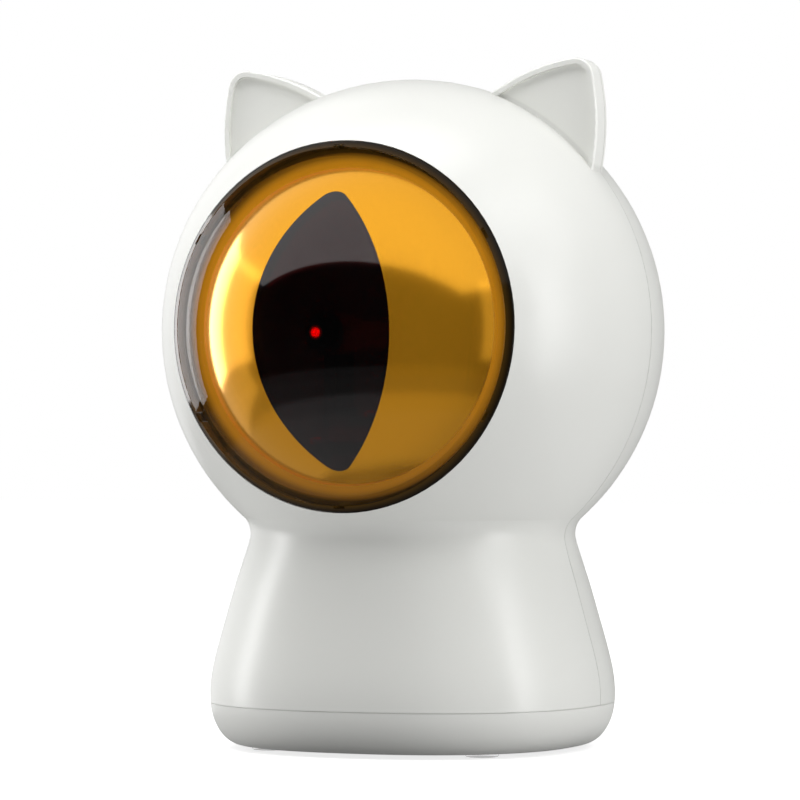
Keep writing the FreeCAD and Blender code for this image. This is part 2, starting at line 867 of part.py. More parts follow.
# ---- Eye ----

def eye_point(radius, depth):
    return V(radius, -depth, head_z)


def sphere_depth(radius, sphere, centre=0.0):
    return centre + math.sqrt(sphere ** 2 - radius ** 2)


def eye_arc(start_radius, end_radius, sphere, centre=0.0):
    middle = (start_radius + end_radius) / 2
    points = [eye_point(r, sphere_depth(r, sphere, centre)) for r in (start_radius, middle, end_radius)]
    return Part.Arc(*points).toShape()


def eye_line(start, end):
    return Part.makeLine(eye_point(*start), eye_point(*end))


def about_eye(edges):
    face = Part.Face(Part.Wire(Part.__sortEdges__(edges)))
    return face.revolve(V(0, 0, head_z), Y_AXIS, 360)


def catch_block(grow, depth):
    """The six catches round the dome's rim, or the notches that they sit in."""
    blocks = []
    half = catch_width / 2 + grow
    inner = dome_edge - catch_root
    outer = dome_edge + catch_reach + grow
    for i in range(catch_count):
        block = box((inner, outer), (-depth, -seat_depth), (head_z - half, head_z + half))
        block.rotate(V(0, 0, head_z), Y_AXIS, 30 + i * 360 / catch_count)
        blocks.append(block)
    return blocks


def eye_dome():
    inside = head_radius - dome_wall
    inner = dome_edge - dome_wall
    edges = [eye_arc(0, dome_edge, head_radius), eye_arc(0, inner, inside)]
    edges.append(eye_line((0, inside), (0, head_radius)))
    edges.append(eye_line((dome_edge, dome_edge_depth), (dome_edge, seat_depth)))
    edges.append(eye_line((dome_edge, seat_depth), (inner, seat_depth)))
    edges.append(eye_line((inner, seat_depth), (inner, sphere_depth(inner, inside))))
    dome = about_eye(edges)
    return dome.fuse(catch_block(0, dome_edge_depth - catch_set)).removeSplitter()


def eye_bezel():
    front = sphere_depth(ring_radius, head_radius)
    back = sphere_depth(ring_radius, shell_inside - ring_gap)
    outer = ring_radius + bezel_flange
    outer_depth = sphere_depth(outer, shell_inside - ring_gap)
    skirt = outer_depth - bezel_skirt
    under = seat_depth - ledge_thick
    inner = bezel_inside - ledge_width
    edges = [eye_arc(bezel_inside, ring_radius, head_radius)]
    corners = [(ring_radius, front), (ring_radius, back)]
    edges.append(eye_line(*corners))
    edges.append(eye_arc(ring_radius, outer, shell_inside - ring_gap))
    path = [(outer, outer_depth), (outer, skirt), (flange_radius + flange_gap, skirt)]
    path += [(flange_radius + flange_gap, under), (inner, under), (inner, seat_depth)]
    path += [(bezel_inside, seat_depth), (bezel_inside, sphere_depth(bezel_inside, head_radius))]
    for start, end in zip(path, path[1:]):
        edges.append(eye_line(start, end))
    ring = about_eye(edges)
    lugs = []
    bores = []
    for x, z, angle in lug_places():
        half = lug_width / 2
        inside = ring_radius - ring_width + ring_gap
        lug_y = (-lug_depth, -lug_depth + lug_thick)
        lug_z = (head_z - half, head_z + half)
        arm = box((inside, lug_radius), lug_y, lug_z)
        post = box((inside, outer - lap_gap), (-skirt - grow_in, lug_y[1]), lug_z)
        for piece in (arm, post):
            piece.rotate(V(0, 0, head_z), Y_AXIS, -angle)
            lugs.append(piece)
        lugs.append(rod(half, (x, -lug_depth, z), Y_AXIS, lug_thick))
        bores.append(rod(screw_radius + screw_play, (x, -lug_depth - 1, z), Y_AXIS, lug_thick + 2))
    ring = joined([ring] + lugs)
    return ring.cut(bores + catch_block(notch_play, head_radius))


def bezel_screws():
    seats = [(x, -lug_depth + lug_thick, z) for x, z, angle in lug_places()]
    return Part.makeCompound([screw(seat, -Y_AXIS, bezel_screw_length) for seat in seats])


def iris_solid():
    inner_sphere = iris_radius - iris_wall
    back_radius = math.sqrt(inner_sphere ** 2 - (retainer_depth - iris_centre) ** 2)
    edges = [eye_arc(0, iris_edge, iris_radius, iris_centre)]
    edges.append(eye_arc(0, back_radius, inner_sphere, iris_centre))
    path = [(iris_edge, flange_depth), (flange_radius, flange_depth)]
    path += [(flange_radius, retainer_depth), (back_radius, retainer_depth)]
    for start, end in zip(path, path[1:]):
        edges.append(eye_line(start, end))
    edges.append(eye_line((0, iris_pole - iris_wall), (0, iris_pole)))
    return about_eye(edges)


def pupil_prism(inset):
    """The slit's outline, two long arcs and two rounded tips, drawn out along Y."""
    centre_z = head_z - pupil_drop
    offset = pupil_arc - pupil_half_width
    tip_rise = math.sqrt((pupil_arc - pupil_tip) ** 2 - offset ** 2)
    turn = math.atan2(tip_rise, offset)
    long_arc = pupil_arc - inset
    tip_arc = pupil_tip - inset
    edges = []
    for side in (1, -1):
        ends = []
        for angle in (-turn, 0, turn):
            x = side * (long_arc * math.cos(angle) - offset)
            ends.append(V(x, 0, centre_z + long_arc * math.sin(angle)))
        edges.append(Part.Arc(*ends).toShape())
        tips = []
        for angle in (turn, math.pi / 2, math.pi - turn):
            z = centre_z + side * (tip_rise + tip_arc * math.sin(angle))
            tips.append(V(tip_arc * math.cos(angle), 0, z))
        edges.append(Part.Arc(*tips).toShape())
    face = Part.Face(Part.Wire(Part.__sortEdges__(edges)))
    face.translate(V(0, -2 * head_radius, 0))
    return face.extrude(V(0, 2 * head_radius, 0))


def iris_dome():
    return iris_solid().cut(pupil_prism(0))


def pupil_window():
    return iris_solid().common(pupil_prism(pupil_fit))


def iris_retainer():
    outer = flange_radius
    inner = outer - retainer_width
    ring = rod(outer, (0, -retainer_depth, head_z), Y_AXIS, retainer_thick)
    return ring.cut(rod(inner, (0, -retainer_depth - 1, head_z), Y_AXIS, retainer_thick + 2))


# ---- Gears ----

def involute(angle):
    return math.tan(angle) - angle


def tooth_edges(teeth, index, tip_cut, centre_shift):
    """Edges of one tooth and the root beside it, in the XY plane round the origin."""
    pitch = gear_module * teeth / 2
    pressure = math.radians(pressure_angle)
    base = pitch * math.cos(pressure)
    root = pitch - 1.25 * gear_module
    tip = pitch + (1 - tip_cut) * gear_module
    half_pitch = math.pi / (2 * teeth) - backlash / (2 * pitch)
    middle = 2 * math.pi * (index + centre_shift) / teeth

    def half_angle(radius):
        turn = math.acos(min(1.0, base / radius))
        return half_pitch + involute(pressure) - involute(turn)

    def at(radius, angle):
        return V(radius * math.cos(angle), radius * math.sin(angle), 0)

    start = max(base, root)
    waist = (start + tip) / 2
    edges = []
    low = half_angle(start)
    if start > root:
        edges.append(Part.makeLine(at(root, middle - low), at(start, middle - low)))
    flank = [at(radius, middle - half_angle(radius)) for radius in (start, waist, tip)]
    edges.append(Part.Arc(*flank).toShape())
    top = half_angle(tip)
    edges.append(Part.Arc(at(tip, middle - top), at(tip, middle), at(tip, middle + top)).toShape())
    flank = [at(radius, middle + half_angle(radius)) for radius in (tip, waist, start)]
    edges.append(Part.Arc(*flank).toShape())
    if start > root:
        edges.append(Part.makeLine(at(start, middle + low), at(root, middle + low)))
    gap = math.pi / teeth
    after = [at(root, middle + low), at(root, middle + gap), at(root, middle + 2 * gap - low)]
    edges.append(Part.Arc(*after).toShape())
    return edges


def pinion(bore):
    edges = []
    for index in range(pinion_teeth):
        edges += tooth_edges(pinion_teeth, index, pinion_tip_cut, 0)
    blank = Part.Face(Part.Wire(edges)).extrude(V(0, 0, pinion_width))
    hole = rod(bore, (0, 0, -1), Z_AXIS, pinion_width + 2)
    return blank.cut(hole)


def toothed_sector(teeth, low_angle, high_angle):
    """A wedge of gear between two angles from +X, with a tooth space on +X."""
    step = 360 / teeth
    first = math.floor(low_angle / step)
    last = math.ceil(high_angle / step)
    edges = []
    for index in range(first, last):
        edges += tooth_edges(teeth, index, sector_tip_cut, 0.5)
    start = edges[0].firstVertex().Point
    end = edges[-1].lastVertex().Point
    edges.append(Part.makeLine(end, V(0, 0, 0)))
    edges.append(Part.makeLine(V(0, 0, 0), start))
    return Part.Face(Part.Wire(edges)).extrude(V(0, 0, gear_width))


# ---- Pan and tilt mechanism ----

def plate_screw_places():
    sides = (-screw_pitch, screw_pitch)
    return [(x, bay_y + y) for x in sides for y in sides]


def motor_post_places():
    return [(pan_x + side * ear_screw_x, motor_y + ear_screw_y) for side in (-1, 1)]


def mech_plate():
    rear = motor_y + ear_screw_y + post_radius + plate_margin
    y = (bay_y - bay_half, rear)
    plate = rounded_box((-bay_half, bay_half), y, (plate_z, plate_z + plate_thick), holder_corner)
    pieces = []
    for x, leg_y in plate_screw_places():
        pieces.append(rod(plate_leg_radius, (x, leg_y, bay_top), Z_AXIS, leg_high + grow_in))
    low = plate_z + grow_in
    for x, post_y in motor_post_places():
        pieces.append(rod(post_radius, (x, post_y, low), Z_AXIS, motor_z - low))
    plate = joined([plate] + pieces)
    cuts = [rod(hub_radius + run_gap, (pan_x, pan_y, plate_z - 1), Z_AXIS, plate_thick + 2)]
    for x, leg_y in plate_screw_places():
        cuts.append(rod(screw_radius + screw_play, (x, leg_y, bay_top - 1), Z_AXIS, 10))
    for x, post_y in motor_post_places():
        cuts.append(rod(screw_radius + screw_play, (x, post_y, motor_z - thin_screw_length), Z_AXIS, 6))
    window_x = (pan_x - window_half, pan_x + window_half)
    window_y = (motor_y - 1, motor_y + window_half)
    window_z = (plate_z - 1, plate_z + plate_thick + 1)
    cuts.append(rounded_box(window_x, window_y, window_z, window_corner))
    return plate.cut(cuts)


def mech_screws():
    seat_z = plate_z + plate_thick
    length = plate_thick + leg_high + mech_screw_bite
    seats = [(x, y, seat_z) for x, y in plate_screw_places()]
    return Part.makeCompound([screw(seat, -Z_AXIS, length) for seat in seats])


def pan_motor():
    can = rod(pan_motor_radius, (pan_x, motor_y, motor_z), Z_AXIS, pan_motor_high)
    rims = [edge for edge in can.Edges if edge.Closed and edge.CenterOfMass.z > motor_z + 1]
    can = can.makeFillet(motor_edge, rims)
    pieces = [rod(shaft_radius, (pan_x, motor_y, gear_z), Z_AXIS, motor_z - gear_z + 1)]
    boss_z = motor_z - motor_boss_high
    pieces.append(rod(motor_boss_radius, (pan_x, motor_y, boss_z), Z_AXIS, motor_boss_high + grow_in))
    for x, y in motor_post_places():
        ear = rod(post_radius, (x, y, motor_z), Z_AXIS, motor_flange)
        arm_x = (min(x, pan_x), max(x, pan_x))
        arm_y = (y - post_radius, y + post_radius)
        arm = box(arm_x, arm_y, (motor_z, motor_z + motor_flange))
        pieces += [ear, arm]
    motor = joined([can] + pieces)
    bores = [rod(screw_radius + screw_play, (x, y, motor_z - 1), Z_AXIS, 3) for x, y in motor_post_places()]
    return motor.cut(bores)


def pan_motor_screws():
    seat_z = motor_z + motor_flange
    screws = []
    for x, y in motor_post_places():
        head = rod(thin_head_radius, (x, y, seat_z), Z_AXIS, thin_head_high)
        low = seat_z - thin_screw_length
        screws.append(head.fuse(rod(screw_radius, (x, y, low), Z_AXIS, thin_screw_length)))
    return Part.makeCompound(screws)


def pan_pinion():
    gear = pinion(shaft_radius + press)
    gear.rotate(V(0, 0, 0), Z_AXIS, -90)
    gear.translate(V(pan_x, motor_y, gear_z - lap_gap))
    return gear


def pan_gear():
    half = pan_swing + pan_margin
    sector = toothed_sector(pan_teeth, -half, half)
    sector.rotate(V(0, 0, 0), Z_AXIS, 90)
    sector.translate(V(pan_x, pan_y, gear_z))
    disc = rod(yoke_radius, (pan_x, pan_y, gear_z), Z_AXIS, gear_width)
    low = gear_z - thrust + run_gap
    ring = rod(hub_radius + ring_wide, (pan_x, pan_y, low), Z_AXIS, thrust)
    low = plate_z - lap_gap
    hub = rod(hub_radius, (pan_x, pan_y, low), Z_AXIS, gear_z + lap_gap - low)
    gear = joined([disc, sector, ring, hub])
    cuts = [rod(screw_radius + screw_play, (pan_x, pan_y, plate_z - 1), Z_AXIS, 8)]
    for x, y in yoke_screw_places():
        cuts.append(rod(screw_radius + screw_play, (x, y, gear_z - 1), Z_AXIS, 10))
    for side in (-1, 1):
        turn = math.radians(side * gear_hole_angle)
        x = pan_x + gear_hole_pitch * math.sin(turn)
        y = pan_y + gear_hole_pitch * math.cos(turn)
        cuts.append(rod(gear_hole_radius, (x, y, gear_z - 1), Z_AXIS, gear_width + 2))
    return gear.cut(cuts)


def pan_washer():
    disc = rod(hub_radius + washer_wide, (pan_x, pan_y, washer_z), Z_AXIS, washer_thick)
    return disc.cut(rod(screw_radius + screw_play, (pan_x, pan_y, washer_z - 1), Z_AXIS, 3))


def pan_screw():
    return screw((pan_x, pan_y, washer_z), Z_AXIS, pan_screw_length)


def yoke_screw_places():
    return [(pan_x, pan_y + side * yoke_screw_pitch) for side in (-1, 1)]


def pan_yoke():
    base = rod(yoke_radius, (pan_x, pan_y, yoke_z), Z_AXIS, yoke_base)
    pieces = []
    for side in (-1, 1):
        near = pan_x + side * arm_inner
        far = near + side * arm_thick
        x = (min(near, far), max(near, far))
        y = (pan_y - arm_half, pan_y + arm_half)
        pieces.append(box(x, y, (yoke_z, tilt_z)))
        pieces.append(rod(arm_half, (x[0], pan_y, tilt_z), X_AXIS, arm_thick))
        heel = (near - side * heel_out, near)
        heel_y = (pan_y - heel_half, pan_y + heel_half)
        pieces.append(box((min(heel), max(heel)), heel_y, (yoke_z, yoke_z + yoke_base + heel_high)))
    shelf_z = (tilt_z - tilt_motor_radius - shelf, tilt_z - tilt_motor_radius)
    right = (pan_x + arm_inner, pan_x + arm_inner + arm_thick)
    rear = tilt_y + tilt_motor_radius + grow_in
    mount_y = (tilt_y - tilt_motor_radius, rear)
    face = (motor_face() - web, motor_face())
    pieces.append(box(right, (pan_y, rear), (shelf_z[0], tilt_z + arm_half)))
    pieces.append(box((face[0], right[1]), mount_y, shelf_z))
    pieces.append(box(face, mount_y, (shelf_z[0], tilt_z + arm_half)))
    yoke = joined([base] + pieces)
    cuts = [rod(pin_radius + press, (pan_x - past_arms, pan_y, tilt_z), X_AXIS, 2 * past_arms)]
    cuts.append(rod(motor_boss_radius + lap_gap, (face[0] - 1, tilt_y, tilt_z), X_AXIS, web + 2))
    window_y = (tilt_y - terminal_half, tilt_y + terminal_half)
    window_z = (tilt_z - terminal_half, tilt_z + terminal_half)
    cuts.append(box((right[0] - 1, right[1] + 1), window_y, window_z))
    for x, y in yoke_screw_places():
        cuts.append(rod(screw_radius + screw_play, (x, y, yoke_z - 1), Z_AXIS, 5))
    return yoke.cut(cuts)


def yoke_screws():
    seat_z = yoke_z + yoke_base
    seats = [(x, y, seat_z) for x, y in yoke_screw_places()]
    return Part.makeCompound([screw(seat, -Z_AXIS, yoke_base + 2) for seat in seats])


def motor_face():
    """Where the tilt motor's front sits, just beside the toothed sector."""
    return pan_x + sector_side + gear_width / 2 + 0.6 + web


def tilt_motor():
    x = motor_face()
    can = rod(tilt_motor_radius, (x, tilt_y, tilt_z), X_AXIS, tilt_motor_length)
    rims = [edge for edge in can.Edges if edge.Closed and edge.CenterOfMass.x > x + 1]
    can = can.makeFillet(motor_edge, rims)
    boss = rod(motor_boss_radius, (x - web + 2 * lap_gap, tilt_y, tilt_z), X_AXIS, web)
    low = pan_x + sector_side - pinion_width / 2
    shaft = rod(shaft_radius, (low, tilt_y, tilt_z), X_AXIS, x - low + 1)
    return joined([can, boss, shaft])


def tilt_pinion():
    gear = pinion(shaft_radius + press)
    gear.rotate(V(0, 0, 0), V(1, 1, 1), 120)
    gear.rotate(V(0, 0, 0), X_AXIS, 180)
    gear.translate(V(pan_x + sector_side - pinion_width / 2, tilt_y, tilt_z))
    return gear


def tilt_pin():
    half = arm_inner + arm_thick + 0.3
    return rod(pin_radius, (pan_x - half, pan_y, tilt_z), X_AXIS, 2 * half)


def laser_cradle():
    half = arm_inner - side_play
    hub = rod(cradle_hub_radius, (pan_x - half, pan_y, tilt_z), X_AXIS, 2 * half)
    sector = toothed_sector(tilt_teeth, -tilt_down - tilt_margin, tilt_up + tilt_margin)
    sector.rotate(V(0, 0, 0), V(1, 1, 1), 120)
    sector.translate(V(pan_x + sector_side - gear_width / 2, pan_y, tilt_z))
    front = pan_y - reach
    sleeve_y = (front + sleeve_front, front + barrel_length - barrel_edge)
    arm_x = (pan_x - cradle_arm_half, pan_x + cradle_arm_half)
    arm_z = (tilt_z - cradle_arm_high, tilt_z + cradle_arm_high)
    arm = box(arm_x, (sleeve_y[1] - 1, pan_y - 2), arm_z)
    start = (pan_x, sleeve_y[0], tilt_z)
    sleeve_long = sleeve_y[1] + sleeve_end - sleeve_y[0]
    sleeve = rod(barrel_radius + barrel_sleeve, start, Y_AXIS, sleeve_long)
    cradle = joined([hub, sector, arm, sleeve])
    bore = rod(barrel_radius + 2 * press, (pan_x, front - 1, tilt_z), Y_AXIS, barrel_length + 1)
    lead_hole = rod(lead_hole_radius, (pan_x, front, tilt_z), Y_AXIS, barrel_length + 2.5)
    axle = rod(pin_radius + run_gap, (pan_x - past_arms, pan_y, tilt_z), X_AXIS, 2 * past_arms)
    flute_x = (pan_x - flute_half, pan_x + flute_half)
    flute_y = (sleeve_y[1] + 3, pan_y - cradle_hub_radius - lead_hole_radius)
    flute = box(flute_x, flute_y, (tilt_z - 4, tilt_z + 4))
    slit_x = (pan_x - slit_half, pan_x + slit_half)
    slit = box(slit_x, (front, front + slit_long), (tilt_z, tilt_z + 6))
    return cradle.cut([bore, lead_hole, axle, flute, slit])


def laser_module():
    front = pan_y - reach
    barrel = rod(barrel_radius, (pan_x, front, tilt_z), Y_AXIS, barrel_length)
    rims = [edge for edge in barrel.Edges if edge.Closed and edge.CenterOfMass.y < front + 0.1]
    barrel = barrel.makeChamfer(barrel_edge, rims)
    seat = rod(lens_radius + press, (pan_x, front - 1, tilt_z), Y_AXIS, 1 + lens_thick)
    groove = rod(barrel_radius + 1, (pan_x, front + groove_back, tilt_z), Y_AXIS, groove_wide)
    groove = groove.cut(rod(barrel_radius - groove_depth, (pan_x, front + 2, tilt_z), Y_AXIS, 2))
    return barrel.cut([seat, groove])


def laser_lens():
    front = pan_y - reach
    return rod(lens_radius, (pan_x, front, tilt_z), Y_AXIS, lens_thick)


# ---- Boards and rear fittings ----

def board_screw_places():
    side = board_half_width - board_screw_inset
    levels = (base_z + board_low + board_screw_end, base_z + board_high - board_screw_end)
    return [(x, z) for x in (-side, side) for z in levels]


def main_board():
    y = (board_y, board_y + board_thick)
    board = box((-board_half_width, board_half_width), y, (base_z + board_low, base_z + board_high))
    bores = []
    for x, z in board_screw_places():
        bores.append(rod(screw_radius + screw_play, (x, board_y - 1, z), Y_AXIS, board_thick + 2))
    return board.cut(bores)


def board_parts():
    y = board_y + board_thick
    middle = base_z + (board_low + board_high) / 2
    chip = box((-3.5, 3.5), (y, y + 1.0), (middle - 9, middle - 2))
    socket = box((-10, -3), (y, y + 4.0), (middle - 18, middle - 13))
    second = box((2, 9), (y, y + 4.0), (middle - 18, middle - 13))
    coil = rod(2.4, (9.5, y, middle - 5), Y_AXIS, 2.6)
    crystal = rod(1.6, (-9, y, middle - 6), Y_AXIS, 2.2)
    return Part.makeCompound([chip, socket, second, coil, crystal])


def radio_module():
    y = board_y + board_thick
    middle = base_z + (board_low + board_high) / 2
    tile = box((-6.5, 6.5), (y, y + 0.8), (middle + 1, middle + 17))
    can = box((-5.8, 5.8), (y + 0.8, y + 2.6), (middle + 2, middle + 12.5))
    return tile.fuse(can)


def board_screws():
    seats = [(x, board_y + board_thick, z) for x, z in board_screw_places()]
    return Part.makeCompound([screw(seat, -Y_AXIS, board_screw_length) for seat in seats])


def rear_board_screw_places():
    z = base_z + (usb_height + button_height) / 2
    return [(-rear_screw_x, z), (rear_screw_x, z)]


def rear_board():
    y = (rear_board_y, rear_face)
    half = rear_board_half
    board = box((-half, half), y, (base_z + rear_board_low, base_z + rear_board_high))
    middle = base_z + light_height
    lamp_z = (middle - lamp_half_high, middle + lamp_half_high)
    lamp = box((-lamp_half, lamp_half), (rear_face - lap_gap, rear_face + lamp_high), lamp_z)
    middle = base_z + usb_height
    plug_y = (rear_board_y - plug_deep, rear_board_y + lap_gap)
    plug_z = (middle - plug_half_high, middle + plug_half_high)
    plug = box((-plug_half, plug_half), plug_y, plug_z)
    board = board.fuse([lamp, plug])
    bores = []
    for x, z in rear_board_screw_places():
        bores.append(rod(screw_radius + screw_play, (x, rear_board_y - 5, z), Y_AXIS, 10))
    return board.cut(bores)


def rear_board_screws():
    seats = [(x, rear_board_y, z) for x, z in rear_board_screw_places()]
    return Part.makeCompound([screw(seat, Y_AXIS, rear_screw_length) for seat in seats])


def usb_socket():
    """A metal shell with rounded ends round a tongue, set back in the wall."""
    end = rear_face + past_wall
    shell = usb_slot(0, (rear_face, end)).common(pedestal(usb_recess))
    hollow = usb_slot(-usb_wall, (rear_face + usb_back, end))
    z = base_z + usb_height
    tongue_z = (z - tongue_half_high, z + tongue_half_high)
    tongue = box((-tongue_half, tongue_half), (rear_face + usb_back - grow_in, end), tongue_z)
    tongue = tongue.common(pedestal(usb_recess + tongue_inset))
    return shell.cut(hollow).fuse(tongue)


def tact_switch():
    z = base_z + button_height
    face = rear_face + switch_body
    case_z = (z - switch_half, z + switch_half)
    case = box((-switch_half, switch_half), (rear_face, face), case_z)
    plunger = rod(plunger_radius, (0, face - grow_in, z), Y_AXIS, plunger_high + grow_in)
    return case.fuse(plunger)


def power_button():
    z = base_z + button_height
    back = pedestal(wall + button_thick)
    cap = rod(button_radius, (0, rear_face, z), Y_AXIS, past_wall).common(pedestal(-button_proud))
    cap = cap.cut(back)
    flange = rod(button_radius + button_flange, (0, rear_face, z), Y_AXIS, past_wall)
    flange = flange.common(pedestal(wall + lap_gap)).cut(back)
    post_y = rear_face + switch_body + plunger_high + button_travel + lap_gap
    post = rod(button_post, (0, post_y, z), Y_AXIS, past_wall).common(pedestal(wall + grow_in))
    return joined([cap, flange, post])


def status_light():
    z = base_z + light_height
    back = (0, rear_face + light_gap, z)
    pipe = rod(light_radius, back, Y_AXIS, past_wall).common(pedestal(0))
    collar = rod(light_radius + light_collar, back, Y_AXIS, collar_thick)
    return pipe.fuse(collar)


def make_parts():
    parts = {
        "front_shell": front_shell(),
        "rear_shell": rear_shell(),
        "base_cap": base_cap(),
        "rubber_feet": rubber_feet(),
        "base_screws": base_screws(),
        "battery_door": battery_door(),
        "door_contacts": door_contacts(),
        "top_contacts": top_contacts(),
        "battery_holder": battery_holder(),
        "holder_screws": holder_screws(),
        "eye_dome": eye_dome(),
        "eye_bezel": eye_bezel(),
        "bezel_screws": bezel_screws(),
        "iris_dome": iris_dome(),
        "iris_retainer": iris_retainer(),
        "pupil_window": pupil_window(),
        "mech_plate": mech_plate(),
        "mech_screws": mech_screws(),
        "pan_motor": pan_motor(),
        "pan_motor_screws": pan_motor_screws(),
        "pan_pinion": pan_pinion(),
        "pan_gear": pan_gear(),
        "pan_washer": pan_washer(),
        "pan_screw": pan_screw(),
        "pan_yoke": pan_yoke(),
        "yoke_screws": yoke_screws(),
        "tilt_motor": tilt_motor(),
        "tilt_pinion": tilt_pinion(),
        "tilt_pin": tilt_pin(),
        "laser_cradle": laser_cradle(),
        "laser_module": laser_module(),
        "laser_lens": laser_lens(),
        "main_board": main_board(),
        "board_parts": board_parts(),
        "radio_module": radio_module(),
        "board_screws": board_screws(),
        "rear_board": rear_board(),
        "rear_board_screws": rear_board_screws(),
        "usb_socket": usb_socket(),
        "tact_switch": tact_switch(),
        "power_button": power_button(),
        "status_light": status_light(),
    }
    for index in range(len(cell_centres())):
        parts["battery_cell_%d" % (index + 1)] = battery_cell(index)
    return parts


os.makedirs("parts", exist_ok=True)
for name, shape in make_parts().items():
    shape.exportStep("parts/%s.step" % name)
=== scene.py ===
"""Looks of the automatic cat laser toy: materials, lights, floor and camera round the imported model.

Lengths are metres, angles degrees, and colours linear RGB, unless a comment says otherwise.
"""
import json
import math

import bpy
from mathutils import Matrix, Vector

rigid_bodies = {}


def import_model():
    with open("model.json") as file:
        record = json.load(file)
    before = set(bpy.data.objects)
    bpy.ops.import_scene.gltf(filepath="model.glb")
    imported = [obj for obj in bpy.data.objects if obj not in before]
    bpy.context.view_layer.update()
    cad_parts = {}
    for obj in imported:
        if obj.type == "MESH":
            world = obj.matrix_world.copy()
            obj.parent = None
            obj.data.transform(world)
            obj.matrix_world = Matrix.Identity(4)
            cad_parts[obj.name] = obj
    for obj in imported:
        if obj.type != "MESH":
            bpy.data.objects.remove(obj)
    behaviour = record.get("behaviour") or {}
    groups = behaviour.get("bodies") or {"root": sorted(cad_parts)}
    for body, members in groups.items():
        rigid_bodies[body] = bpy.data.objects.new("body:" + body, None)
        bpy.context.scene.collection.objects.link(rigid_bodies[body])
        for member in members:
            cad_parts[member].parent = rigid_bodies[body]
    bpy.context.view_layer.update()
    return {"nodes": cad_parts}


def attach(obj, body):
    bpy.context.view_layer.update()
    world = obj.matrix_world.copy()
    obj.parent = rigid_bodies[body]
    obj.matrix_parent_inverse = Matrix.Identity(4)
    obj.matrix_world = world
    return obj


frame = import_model()
nodes = frame["nodes"]

# ---- The camera, found from the photograph's outline ----
AZIMUTH = 23.1
ELEVATION = -0.6
DISTANCE = 0.830
TARGET = Vector((0, 0, 0.0730))
IMAGE_SIZE = 800              # pixels, as are the next two
FOCAL_PIXELS = 3930.0
AXIS_PIXEL = 413.2            # the column of the object's upright axis
SENSOR_WIDTH = 36.0           # millimetres
CLIP = (0.05, 20.0)

# ---- Places on the object ----
EYE_CENTRE = (0.0, 0.0, 0.0875)           # the eye's axis runs through it, along Y
IRIS_CENTRE = (0.0, -0.00965, 0.0875)     # the centre of the sphere that the iris and its pupil are cut from
IRIS_EDGE = 0.0324                        # radius round the eye's axis where the iris meets its border
IRIS_STEP = 0.0001                        # the width of that edge
# Painted shade: the border darkens next to the ring between these radii
RIM_PAINTED_SHADE = (0.0330, 0.0362)               # radii between which the border darkens
# Painted light: the ring's seat takes an amber glow from the iris beside it, fading out between these radii
BEZEL_AMBER_LIGHT_FADE = (0.0358, 0.0378)             # radii between which the ring loses its amber tint
LASER_AXIS = (-0.0011, 0.0, 0.0861)       # the laser's axis, beside the eye's
LENS_CORE = 0.0003                        # radii round the laser's axis
LENS_RADIUS = 0.001
GLOW_RADIUS = 0.0016
HEAD_EDGE = (0.0535, 0.0540)              # the ears stand outside this radius round the eye's axis
EAR_FOOT = (0.110, 0.114)                 # and above this height
SEAM = (0.0095, 0.0097)                   # heights of the seam round the base
SEAM_TOLERANCE = 0.00002
SEAL_INSET = (0.00004, 0.0012)            # how far inside the walls the seal's two faces stand
SEAL_STEP = 5                             # degrees between the seal's corners

# ---- Colours and glosses ----
WHITE = (0.81, 0.815, 0.782)
# The ears' white: painted light, paler than the shell's to stand in for the stronger light on them
EAR_PAINTED_LIGHT = (0.905, 0.91, 0.875)
IRIS_PAINT = ((0.92, 0.410, 0.016), (0.96, 0.440, 0.022))
# Painted light and shade: the border is paler at the top, as if lit from above, and darker at the bottom
IRIS_BORDER_PAINTED_LIGHT = ((0.62, 0.26, 0.008), (1.00, 0.43, 0.010))     # at the bottom and at the top
# The near black that the painted shade over the rim reaches
IRIS_RIM_SHADE = (0.016, 0.009, 0.002)
IRIS_METAL = 0.74
IRIS_ROUGHNESS = (0.14, 0.2)
PUPIL_BLACK = ((0.0003, 0.0003, 0.0003), (0.0008, 0.0008, 0.0008))
PUPIL_ROUGHNESS = (0.05, 0.08)
PUPIL_GLOSS = 1.75            # its index of refraction
PUPIL_CLEAR = 0.18            # the share of light that each of its two faces passes
PUPIL_RED = (1.0, 0.03, 0.03)
# The painted amber light on the ring's seat
BEZEL_PAINTED_AMBER_LIGHT = (0.075, 0.038, 0.005)
BEZEL_BLACK = (0.006, 0.005, 0.004)
BEZEL_ROUGHNESS = (0.07, 0.12)
BEZEL_SHINE = 0.12
BARREL = ((0.03, 0.026, 0.02), (0.06, 0.05, 0.035))
BARREL_ROUGHNESS = (0.3, 0.42)
BARREL_METAL = 0.9
# Painted light: the red glow painted on the barrel's face round the lens
BARREL_PAINTED_GLOW = (1.0, 0.01, 0.01)
LENS = ((0.9, 0.004, 0.006), (0.7, 0.003, 0.004))
LENS_ROUGHNESS = 0.2
LENS_LIGHT = (1.0, 0.004, 0.006)
LASER_GLOW = 26.0             # at the lens's middle, behind the dark pupil
LENS_EDGE = 0.55              # the share of that glow at the lens's edge
BARREL_GLOW_SHARE = 0.05            # and on the barrel beside it
GRAIN_STRENGTH = 0.05         # the spark-eroded texture of moulded plastic
GRAIN_DEPTH = 0.00001
METAL_SHADE = 0.85            # how dark a metal's grain is against its colour
METAL_SPREAD = 0.2            # how far a metal's roughness strays, as a share of it
CLEAR_SPREAD = 0.1            # and a clear plastic's

# Scales of the materials' noise
DRIFT = 28.0
WAVER = 180.0
TEXTURE = 2600.0
BRUSHING = 900.0
CLEAR_WAVER = 90.0
PUPIL_DRIFT = 60.0
LENS_SPARK = 2400.0
FLAKES = 5200.0

